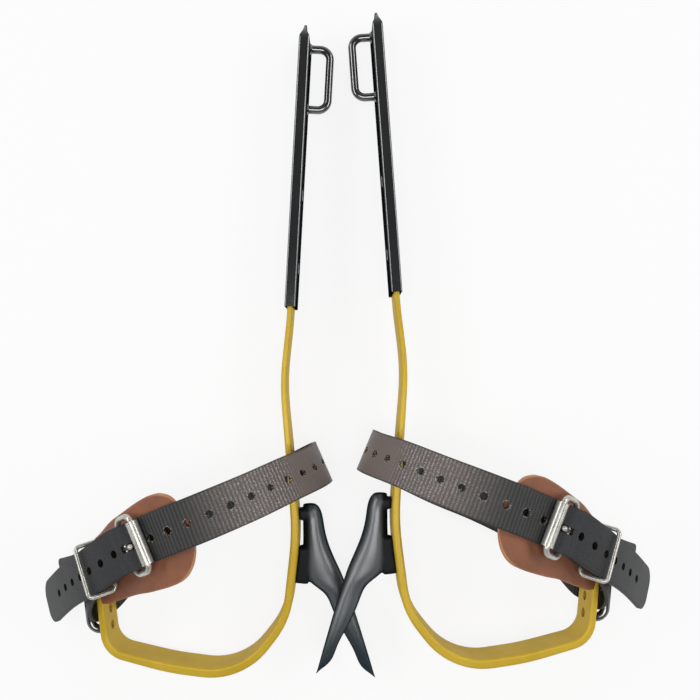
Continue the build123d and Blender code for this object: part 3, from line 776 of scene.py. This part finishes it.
def weld(name, side, body, place, facing, rod, material):
    """A low bead of weld that eases a rod of a loop into a bar: a flared collar with an uneven rim."""
    bpy.ops.object.select_all(action="DESELECT")
    bpy.ops.mesh.primitive_cylinder_add(vertices=40, radius=1, depth=1, end_fill_type="NGON")
    piece = bpy.context.object
    piece.name = name
    modify(piece, "TRIANGULATE")
    turn = facing.to_track_quat("Z", "Y").to_matrix()
    for vertex in piece.data.vertices:
        x, y, z = vertex.co
        wave = 1 + 0.06 * sin(5 * x + 2 * y) + 0.05 * cos(4 * y - x)
        if z < 0:
            radius, rise = rod / 2 + weld_flare * wave, -weld_sink
        else:
            radius, rise = rod / 2 - weld_bite, weld_rise * wave
        vertex.co = placed(side, place * mm + turn @ Vector((x * radius, y * radius, rise)))
    edit_all(piece, face_outwards)
    bpy.ops.object.shade_smooth_by_angle(angle=skin_angle)
    paint(piece, material)
    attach(piece, body)


def weld_loop(side, name, body, middle, run, face, spread, rod, material):
    """The welds at both ends of a rod loop, which stands on the right of a sleeve or the left of a riser."""
    on_sleeve = body == "upper"
    facing = Vector((run[1], -run[0], 0)) * (1 if on_sleeve else -1)
    rides_on = f"{side}_upper" if on_sleeve else "root"
    for end, sign in (("upper", 1), ("lower", -1)):
        place = Vector((*middle, bar_middle)) + Vector((*run, 0)) * spread * sign + facing * face
        weld(f"{side}_{name}_{end}_weld", side, rides_on, place, facing, rod, material)


def join_triangles():
    """A step of edit mode: joins loose triangles whose corners meet."""
    bpy.ops.mesh.customdata_custom_splitnormals_clear()
    bpy.ops.mesh.remove_doubles(threshold=0.002 * mm)


def smooth_copy(node, name, material):
    """A copy of a node with its loose triangles joined, so that its round skin shades without facets."""
    piece = bpy.data.objects.new(name, nodes[node].data.copy())
    bpy.context.scene.collection.objects.link(piece)
    edit_all(piece, join_triangles)
    bpy.ops.object.shade_smooth_by_angle(angle=skin_angle)
    dress(piece, body_of(nodes[node])[0], node, material)
    return piece


def forge(spike):
    """Eases the lugs of a spike into its blade, as forging dies do, and leaves the blade and point sharp."""
    modify(spike, "REMESH", mode="VOXEL", voxel_size=skin_fineness)
    lugs = spike.vertex_groups.new(name="lugs")
    for vertex in spike.data.vertices:
        share = (abs(vertex.co.x) - lugs_begin) / (lugs_full - lugs_begin)
        lugs.add([vertex.index], min(max(share, blade_easing), 1.0), "REPLACE")
    modify(spike, "SMOOTH", factor=0.5, iterations=easing_rounds, use_x=False, vertex_group="lugs")
    spike.vertex_groups.clear()
    select_only(spike)
    bpy.ops.object.shade_smooth()


# Studio: size of the floor and how white it shows, light of the sky low down and overhead, and the lamps by
# name, place, length and width, and watts
floor_size = 6.0
floor_white = 0.85
sky_low = 0.72
sky_high = 0.08
lamps = (
    ("left_softbox", (-0.90, 0.30, 0.75), (1.3, 0.25), 5.5),
    ("right_softbox", (0.90, 0.30, 0.75), (1.3, 0.25), 5.5),
    ("top_softbox", (0.0, -0.14, 1.05), (0.80, 0.40), 4.5),
)


def make_floor():
    """Pale floor, white where the camera or a shiny surface sees it."""
    bpy.ops.object.select_all(action="DESELECT")
    bpy.ops.mesh.primitive_plane_add(size=floor_size)
    floor = bpy.context.object
    floor.name = "floor"
    made = bpy.data.materials.new("floor")
    made.use_nodes = True
    tree = Link(made.node_tree)
    made.node_tree.nodes.remove(made.node_tree.nodes["Principled BSDF"])
    path = made.node_tree.nodes.new("ShaderNodeLightPath")
    seen = Link(made.node_tree, path.outputs["Is Camera Ray"])
    for ray in ("Is Glossy Ray", "Is Transmission Ray"):
        seen = seen.maths("MAXIMUM", Link(made.node_tree, path.outputs[ray]))
    matt = tree.node("ShaderNodeBsdfDiffuse", None, {"Color": (0.8, 0.8, 0.8, 1)})
    white = tree.node("ShaderNodeEmission", None, {"Color": (1, 1, 1, 1), "Strength": 1.0})
    mixed = tree.node("ShaderNodeMixShader", None, {0: seen * floor_white, 1: matt, 2: white})
    made.node_tree.links.new(mixed.socket, made.node_tree.nodes["Material Output"].inputs["Surface"])
    floor.data.materials.append(made)


def make_light():
    """Soft studio light: a pale sky that darkens overhead, and three softboxes."""
    world = bpy.data.worlds.new("studio")
    world.use_nodes = True
    background = world.node_tree.nodes["Background"]
    background.inputs["Color"].default_value = (1, 1, 1, 1)
    height = Link(world.node_tree).node("ShaderNodeTexCoord", None, None, "Generated").part(2)
    level = height.between(0, 1, sky_low, sky_high)
    world.node_tree.links.new(level.socket, background.inputs["Strength"])
    bpy.context.scene.world = world
    for name, place, (length, width), watts in lamps:
        data = bpy.data.lights.new(name, "AREA")
        data.shape = "RECTANGLE"
        data.size = length
        data.size_y = width
        data.energy = watts
        lamp = bpy.data.objects.new(name, data)
        bpy.context.scene.collection.objects.link(lamp)
        lamp.location = place
        lamp.rotation_euler = (-Vector(place)).to_track_quat("-Z", "Y").to_euler()


make_camera()
make_floor()
make_light()
finishes = {
    "gold_paint": finish(
        "gold_enamel", {"Metallic": 0.2, "Specular IOR Level": 0.0, "Coat Roughness": 0.22}, gold_enamel),
    "black_coat": finish(
        "black_coat", {"Specular IOR Level": 0.0, "Coat Roughness": 0.12, "Coat IOR": 2.6}, black_coat),
    "forged_steel": finish(
        "forged_steel", {"Specular IOR Level": 0.0, "Coat Roughness": 0.40, "Coat IOR": 2.35}, forged_steel),
    "nickel_wire": finish("nickel", {"Metallic": 0.7}, nickel),
    "plated_screw": finish("plated", {"Metallic": 0.5, "Specular IOR Level": 0.1}, plated),
    "webbing": finish("webbing", {"Specular IOR Level": 0.4}, webbing),
    "leather": finish("leather", {"Specular IOR Level": 0.35}, leather),
}

# Nodes that a smooth copy stands for, and the copies' names
round_pieces = {
    "gaff": "forged_spike",
    "calf_strap_loop": "calf_rod_loop",
    "foot_strap_loop": "foot_rod_loop",
    "buckle_frame": "buckle_wire",
    "buckle_roller": "buckle_tube",
    "buckle_tongue": "buckle_pin",
    "strap_keeper": "keeper_wire",
}
for row in frame["record"]["subparts"]:
    node, slot = row["node"], row["material_slot"]
    paint(nodes[node], finishes[slot])
    side, part = node.split("_", 1)
    if part in round_pieces:
        piece = smooth_copy(node, f"{side}_{round_pieces[part]}", finishes[slot])
        if part == "gaff":
            forge(piece)
for side in sides:
    foot_strap(side, finishes["webbing"])
    leather_pad(side, finishes["leather"])
    for loop in welded_loops:
        weld_loop(side, *loop, finishes["black_coat"])

bpy.context.scene.view_settings.view_transform = "Standard"
